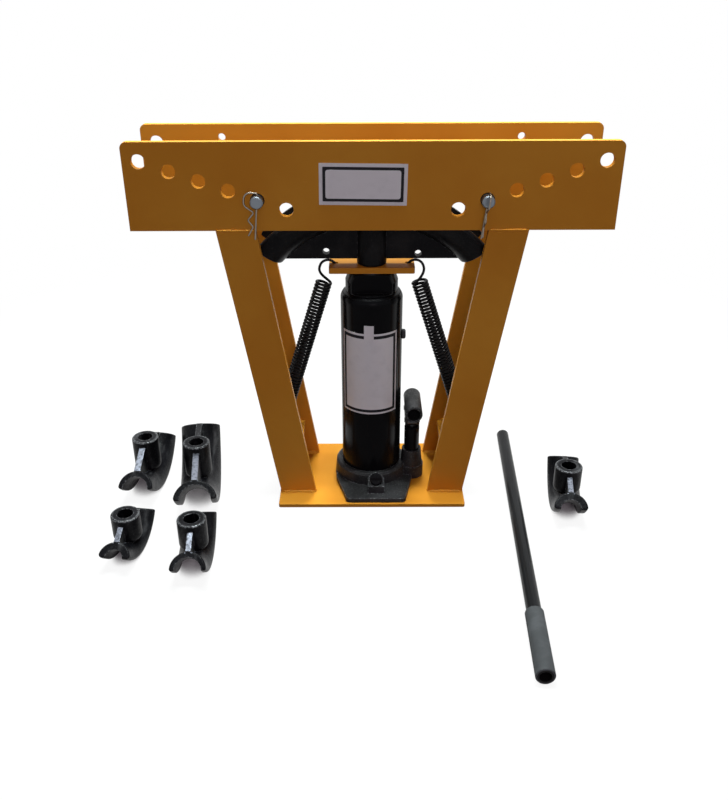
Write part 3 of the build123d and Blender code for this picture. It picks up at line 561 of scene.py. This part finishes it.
def ease(start, start_way, end, end_way, steps):
    """Smooth run of points between two ends with given directions."""
    t = np.linspace(0.0, 1.0, steps)[:, None]
    start, end = np.asarray(start, float), np.asarray(end, float)
    reach = EASE_REACH * np.linalg.norm(end - start)
    a = np.asarray(start_way, float) / np.linalg.norm(start_way) * reach
    b = np.asarray(end_way, float) / np.linalg.norm(end_way) * reach
    return (
        (2 * t**3 - 3 * t**2 + 1) * start
        + (t**3 - 2 * t**2 + t) * a
        + (3 * t**2 - 2 * t**3) * end
        + (t**3 - t**2) * b
    )


def spring_points(sign, hole_x, shelf_bottom, shelf_top):
    """Centre line of a spring, from lower hook to upper hook, and the wire's radius along it."""
    reach_x = hole_x - COIL_TOP_X
    reach_z = COIL_TOP_Z - (shelf_bottom + shelf_top) / 2
    lean = atan2(reach_x, reach_z) + asin(COIL_RADIUS / hypot(reach_x, reach_z))
    foot_x = COIL_TOP_X + (COIL_TOP_Z - COIL_BOTTOM_Z) * tan(lean)
    length = (COIL_TOP_Z - COIL_BOTTOM_Z) / cos(lean)
    foot = np.array((sign * foot_x, 0.0, COIL_BOTTOM_Z))
    across = np.array((-sign * cos(lean), 0.0, -sin(lean)))
    along = np.array((-sign * sin(lean), 0.0, cos(lean)))
    aside = np.cross(along, across)

    def at(x, z):
        return foot + across * x + along * z

    seat = shelf_bottom - HOOK_SEAT_GAP - WIRE_RADIUS * sin(lean)
    tail_x = COIL_RADIUS - 2 * LOWER_HOOK_RADIUS
    drop = (COIL_BOTTOM_Z - tail_x * sin(lean) - seat) / cos(lean) + LOWER_TAIL
    quarters = 4 * COIL_TURNS - 1
    steps = quarters * POINTS_PER_TURN // 4
    turn = np.linspace(0.0, quarters * pi / 2, steps + 1)
    rise = length / (2 * pi * COIL_TURNS)
    coil = (
        foot
        - np.outer(np.sin(turn), across) * COIL_RADIUS
        + np.outer(np.cos(turn), aside) * COIL_RADIUS
        + np.outer(turn * rise, along)
    )
    tail_end = at(tail_x, -drop)
    lower_eye = at(COIL_RADIUS - LOWER_HOOK_RADIUS, -drop)
    shank_top = at(COIL_RADIUS, -drop / 2)
    into_coil = along * rise - across * COIL_RADIUS
    out_of_coil = along * rise + aside * COIL_RADIUS
    eye = length + UPPER_HOOK_RISE
    neck = at(-UPPER_HOOK_RADIUS, eye - UPPER_NECK)
    hook_start, hook_end = at(-UPPER_HOOK_RADIUS, eye), at(UPPER_HOOK_RADIUS, eye)
    upper_end = at(UPPER_HOOK_RADIUS, eye - UPPER_TAIL)
    runs = [
        np.linspace(at(tail_x, LOWER_TAIL - drop), tail_end, LOWER_TAIL_POINTS),
        arc(lower_eye, tail_end, -along, pi, HOOK_POINTS)[1:],
        np.linspace(at(COIL_RADIUS, -drop), shank_top, SHANK_POINTS)[1:],
        ease(shank_top, along, coil[0], into_coil, COIL_INLET_POINTS)[1:-1],
        coil,
        ease(coil[-1], out_of_coil, neck, along, COIL_OUTLET_POINTS)[1:],
        arc(at(0.0, eye), hook_start, along, pi, HOOK_POINTS),
        np.linspace(hook_end, upper_end, UPPER_TAIL_POINTS)[1:],
    ]
    points = np.concatenate(runs)
    coil_start = sum(len(run) for run in runs[:4])
    coil_end = coil_start + len(coil)
    swell = [end + way * WIRE_SWELL for end in (coil_start, coil_end) for way in (-1, 1)]
    swollen = (WIRE_RADIUS, COIL_WIRE_RADIUS, COIL_WIRE_RADIUS, WIRE_RADIUS)
    return points, np.interp(range(len(points)), swell, swollen)


def return_springs(material):
    """Both springs, stretched between the shelves and the ram's plate."""
    for name, sign in (("left", -1), ("right", 1)):
        low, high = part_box(f"{name}_spring_shelf")
        hole_x = max(abs(low.x), abs(high.x)) - HOOK_HOLE_FROM_EDGE[name]
        points, radii = spring_points(sign, hole_x, low.z, high.z)
        mesh = tube_mesh(f"{name}_spring_wire", points, radii, WIRE_SIDES)
        piece = new_piece(f"{name}_spring_wire", mesh, material, None)
        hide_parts(f"{name}_return_spring")
        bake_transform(piece)


def weld_bead(name, start, end, radius, material):
    """Rippled bead of weld from start to end, half sunk in the corner that it fills."""
    start, end = np.asarray(start, float), np.asarray(end, float)
    length = np.linalg.norm(end - start)
    count = max(BEAD_LEAST_POINTS, int(length / (BEAD_RIPPLE / POINTS_PER_RIPPLE)))
    t = np.linspace(0.0, 1.0, count)
    ripple = np.abs(np.sin(t * length / BEAD_RIPPLE * pi))
    wander = np.sin(t * length * WANDER_PER_METRE + start[0] * WANDER_SHIFT)
    taper = np.clip(np.minimum(t, 1 - t) * length / (2 * radius), BEAD_END, 1.0)
    radii = radius * (BEAD_BODY + BEAD_CREST * ripple + wander * BEAD_WANDER) * taper
    mesh = tube_mesh(name, start + np.outer(t, end - start), radii, BEAD_SIDES)
    new_piece(name, mesh, material, "press")


def weld_beads(material):
    """Beads where the legs meet the beams and the base, and the shelves meet the legs."""
    base_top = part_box("base_plate")[1].z
    for row in ("front", "rear"):
        for side in ("left", "right"):
            low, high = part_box(f"{row}_{side}_leg")
            corners = [v.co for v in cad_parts[f"{row}_{side}_leg"].data.vertices]
            top = [v.x for v in corners if v.z > high.z - MM]
            foot = [v.x for v in corners if v.z < low.z + MM]
            tag = f"{row}_{side}"
            outer, inner = (low.y, high.y) if row == "front" else (high.y, low.y)
            for face, y in (("outer", outer), ("inner", inner)):
                ends = ((min(top), y, high.z), (max(top), y, high.z))
                weld_bead(f"{tag}_beam_bead_{face}", *ends, SEAM_BEAD, material)
                ends = ((min(foot), y, base_top), (max(foot), y, base_top))
                weld_bead(f"{tag}_foot_bead_{face}", *ends, FOOT_BEAD, material)
            for edge, x in (("left", min(foot)), ("right", max(foot))):
                ends = ((x, low.y, base_top), (x, high.y, base_top))
                weld_bead(f"{tag}_foot_bead_{edge}", *ends, FOOT_BEAD, material)
    for side in ("left", "right"):
        low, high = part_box(f"{side}_spring_shelf")
        inset = SHELF_BEAD_INSET * (high.x - low.x)
        for row, y in (("front", low.y), ("rear", high.y)):
            ends = ((low.x + inset, y, high.z), (high.x - inset, y, high.z))
            weld_bead(f"{side}_shelf_bead_{row}", *ends, FOOT_BEAD, material)


def outward_mesh(name, work):
    """Mesh from a bmesh that is done with, its faces turned outwards."""
    bmesh.ops.recalc_face_normals(work, faces=work.faces)
    mesh = bpy.data.meshes.new(name)
    work.to_mesh(mesh)
    work.free()
    return mesh


def flat_panel(name, size, corner, y, material):
    """Thin film with rounded corners at the beam's label place, its back on the plane at y."""
    centre_x, centre_z = BEAM_LABEL_CENTRE
    cosine, sine = cos(BEAM_LABEL_TURN), sin(BEAM_LABEL_TURN)
    reach_x, reach_z = size[0] / 2 - corner, size[1] / 2 - corner
    outline = []
    for i, (right, up) in enumerate(((1, 1), (-1, 1), (-1, -1), (1, -1))):
        for j in range(CORNER_STEPS + 1):
            a = pi / 2 * (i + j / CORNER_STEPS)
            x, z = right * reach_x + corner * cos(a), up * reach_z + corner * sin(a)
            outline.append((centre_x + x * cosine - z * sine, centre_z + x * sine + z * cosine))
    work = bmesh.new()
    back = [work.verts.new((x, y, z)) for x, z in outline]
    front = [work.verts.new((x, y - LABEL_THICKNESS, z)) for x, z in outline]
    work.faces.new(back)
    work.faces.new(front[::-1])
    for i in range(len(outline)):
        j = (i + 1) % len(outline)
        work.faces.new((back[i], front[i], front[j], back[j]))
    new_piece(name, outward_mesh(name, work), material, "press")


def curved_panel(name, radius, half_angle, middle, z_span, material):
    """Thin film wrapped round the reservoir in narrow flat faces, about the angle of its middle."""
    shares = [i / WRAP_STEPS for i in range(WRAP_STEPS + 1)]
    angles = [middle + half_angle * (2 * share - 1) for share in shares]
    work = bmesh.new()
    rows = []
    for z in z_span:
        for r in (radius, radius + LABEL_THICKNESS):
            rows.append([work.verts.new((r * sin(a), -r * cos(a), z)) for a in angles])
    inner_low, outer_low, inner_high, outer_high = rows
    for i in range(WRAP_STEPS):
        work.faces.new((outer_low[i], outer_low[i + 1], outer_high[i + 1], outer_high[i]))
        work.faces.new((inner_low[i], inner_high[i], inner_high[i + 1], inner_low[i + 1]))
        work.faces.new((inner_low[i], inner_low[i + 1], outer_low[i + 1], outer_low[i]))
        work.faces.new((inner_high[i], outer_high[i], outer_high[i + 1], inner_high[i + 1]))
    for i in (0, WRAP_STEPS):
        work.faces.new((inner_low[i], outer_low[i], outer_high[i], inner_high[i]))
    new_piece(name, outward_mesh(name, work), material, "press")


def label_places(white, rim):
    """The two label places, bare: a white edge, a dark rim and an empty white field."""
    films = (white, rim, white)
    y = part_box("front_beam_plate")[0].y
    width, height = BEAM_LABEL_SIZE
    insets = (0.0, BEAM_LABEL_EDGE, BEAM_LABEL_RIM)
    for i, (inset, corner, film) in enumerate(zip(insets, BEAM_LABEL_CORNERS, films)):
        size = (width - 2 * inset, height - 2 * inset)
        flat_panel(f"beam_label_layer_{i}", size, corner, y - i * LABEL_THICKNESS, film)
    low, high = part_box("jack_reservoir")
    radius = (high.x - low.x) / 2 + JACK_LABEL_GAP
    middle = JACK_LABEL_CENTRE / radius
    bottom, top = JACK_LABEL_Z
    insets = (0.0, JACK_LABEL_EDGE, JACK_LABEL_RIM)
    for i, (inset, film) in enumerate(zip(insets, films)):
        half = (JACK_LABEL_HALF - inset) / radius
        layer = radius + i * LABEL_THICKNESS
        z_span = (bottom + inset, top - inset)
        curved_panel(f"jack_label_layer_{i}", layer, half, middle, z_span, film)
    # The tab is level with the last layer
    half = JACK_TAB_HALF / radius
    z_span = (top - JACK_LABEL_RIM, top + JACK_TAB_HEIGHT)
    curved_panel("jack_label_tab", layer, half, middle, z_span, white)


def dress_nodes():
    """Materials for all solids, and the pieces that only the looks need."""
    yellow = yellow_paint()
    jack = black_enamel("jack_black", BLACK, dust=0.15, specular=0.02, glance=0.12)
    handle = black_enamel("handle_black", HANDLE_GREY, dust=0.4, specular=0.04, glance=0.08)
    mounted_die = cast_black(
        "mounted_die_black", BLACK, BLACK_DUSTY, rubbed=0.4, specular=0.035, glint=0.07
    )
    casting = cast_black(
        "casting_black", FOOT_GREY, FOOT_DUSTY, rubbed=0.7, specular=0.06, glint=0.45
    )
    pin = turned_steel("pin_steel", PIN_STEEL, PIN_DULL, stretch=(1.0, 6.0, 1.0))
    rod = turned_steel("rod_steel", STEEL, STEEL_DULL, stretch=(1.0, 1.0, 6.0))
    clip = turned_steel("clip_steel", CLIP_STEEL, CLIP_DULL, stretch=(4.0, 4.0, 1.0))
    dark_pin = turned_steel("dark_pin_steel", STEEL_DARK, BLACK_DUSTY, stretch=(6.0, 1.0, 1.0))
    roller = turned_steel("roller_steel", STEEL_DULL, STEEL_DARK, stretch=(1.0, 5.0, 1.0))
    grip = rubber("grip_rubber", dust=0.8)
    seal = rubber("seal_rubber", dust=0.2)
    wire = spring_wire()
    finishes = {
        "base_plate": yellow,
        "front_beam_plate": yellow,
        "rear_beam_plate": yellow,
        "front_left_leg": yellow,
        "front_right_leg": yellow,
        "rear_left_leg": yellow,
        "rear_right_leg": yellow,
        "left_spring_shelf": yellow,
        "right_spring_shelf": yellow,
        "spring_plate": yellow,
        "jack_base": casting,
        "jack_reservoir": jack,
        "jack_top_nut": jack,
        "pump_barrel": jack,
        "handle_socket": casting,
        "release_valve": jack,
        "pressure_cylinder": rod,
        "ram": rod,
        "ram_piston": rod,
        "pump_plunger": dark_pin,
        "plunger_pin": dark_pin,
        "fulcrum_pin": dark_pin,
        "left_roller_pin": pin,
        "right_roller_pin": pin,
        "left_pin_clip": clip,
        "right_pin_clip": clip,
        "left_pipe_roller": roller,
        "right_pipe_roller": roller,
        "ram_wiper": seal,
        "piston_seal": seal,
        "oil_filler_plug": seal,
        "pump_handle": handle,
        "handle_grip": grip,
        "bending_die_50": mounted_die,
        "left_return_spring": wire,
        "right_return_spring": wire,
    }
    for node, turn in DIE_TURNS.items():
        low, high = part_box(node)
        boss_top = ((low.x + high.x) / 2, (low.y + high.y) / 2, high.z)
        finishes[node] = cast_black(
            f"{node}_black",
            DIE_BLACK,
            DIE_DUSTY,
            rubbed=0.7,
            specular=0.05,
            glint=0.20,
            die=(boss_top, radians(turn)),
        )
    for node, finish in finishes.items():
        paint_node(node, finish)
    return_springs(wire)
    weld_beads(yellow)
    white = label_film("label_white", LABEL_WHITE, LABEL_GREY)
    rim = label_film("label_rim", LABEL_RIM, BLACK_DUSTY)
    label_places(white, rim)


def white_floor():
    """Floor that looks white with the object's shadow on it, and throws little light back."""
    material = bpy.data.materials.new("floor_white")
    material.use_nodes = True
    material.node_tree.nodes.clear()
    n = Nodes(material.node_tree)
    position = n.node("ShaderNodeNewGeometry").outputs["Position"]
    far = n.ramp(n.vector("LENGTH", position)["Value"], SHADOW_NEAR, SHADOW_FAR)
    contact = n.node("ShaderNodeAmbientOcclusion", Distance=CONTACT_REACH)
    contact.samples = CONTACT_SAMPLES
    clear = n.ramp(contact.outputs["AO"], CONTACT_DARK, CONTACT_CLEAR)
    share = n.product(n.span(far, 1.0 - SHADOW_SHARE, 1.0), clear)
    catch = n.node("ShaderNodeBsdfDiffuse", Color=FLOOR_CATCH).outputs["BSDF"]
    glow = n.node("ShaderNodeEmission", Color=WHITE).outputs["Emission"]
    matt = n.node("ShaderNodeBsdfDiffuse", Color=FLOOR_COLOUR).outputs["BSDF"]
    shown = n.mix_shaders(n.seen_directly(), matt, n.mix_shaders(share, catch, glow))
    n.node("ShaderNodeOutputMaterial", Surface=shown)
    signs = ((-1, -1), (1, -1), (1, 1), (-1, 1))
    corners = [(x * FLOOR_REACH, y * FLOOR_REACH, 0.0) for x, y in signs]
    mesh = bpy.data.meshes.new("floor")
    mesh.from_pydata(corners, [], [(0, 1, 2, 3)])
    mesh.materials.append(material)
    floor = bpy.data.objects.new("floor", mesh)
    bpy.context.scene.collection.objects.link(floor)


def white_world():
    """World that looks white and lights the object a little."""
    world = bpy.data.worlds.new("studio")
    bpy.context.scene.world = world
    world.use_nodes = True
    n = Nodes(world.node_tree)
    sky = world.node_tree.nodes["Background"]
    n.feed(sky.inputs["Color"], WHITE)
    n.feed(sky.inputs["Strength"], n.span(n.seen_directly(), WORLD_LIGHT, 1.0))


def area_lamp(name, place, aim, size, power, colour, in_gloss):
    """Soft lamp of a width and height at place, pointed at aim."""
    lamp = bpy.data.lights.new(name, "AREA")
    lamp.shape = "RECTANGLE"
    lamp.size, lamp.size_y = size
    lamp.energy = power
    lamp.color = colour
    holder = bpy.data.objects.new(name, lamp)
    holder.location = place
    holder.rotation_euler = (Vector(aim) - Vector(place)).to_track_quat("-Z", "Y").to_euler()
    holder.visible_glossy = in_gloss
    bpy.context.scene.collection.objects.link(holder)


def photo_camera():
    """Camera that stands where the photograph was taken."""
    lens = bpy.data.cameras.new("camera")
    lens.sensor_fit = "VERTICAL"
    lens.sensor_height = CAMERA_SENSOR
    lens.lens = CAMERA_LENS
    lens.shift_x, lens.shift_y = CAMERA_SHIFT
    camera = bpy.data.objects.new("camera", lens)
    camera.matrix_world = (
        Matrix.Translation(CAMERA_PLACE)
        @ Matrix.Rotation(CAMERA_YAW, 4, "Z")
        @ Matrix.Rotation(pi / 2 - CAMERA_PITCH, 4, "X")
        @ Matrix.Rotation(CAMERA_ROLL, 4, "Z")
    )
    bpy.context.scene.collection.objects.link(camera)
    bpy.context.scene.camera = camera
    bpy.context.scene.view_settings.view_transform = "Standard"


dress_nodes()
white_floor()
white_world()
for lamp_name, settings in LAMPS.items():
    area_lamp(lamp_name, **settings)
photo_camera()
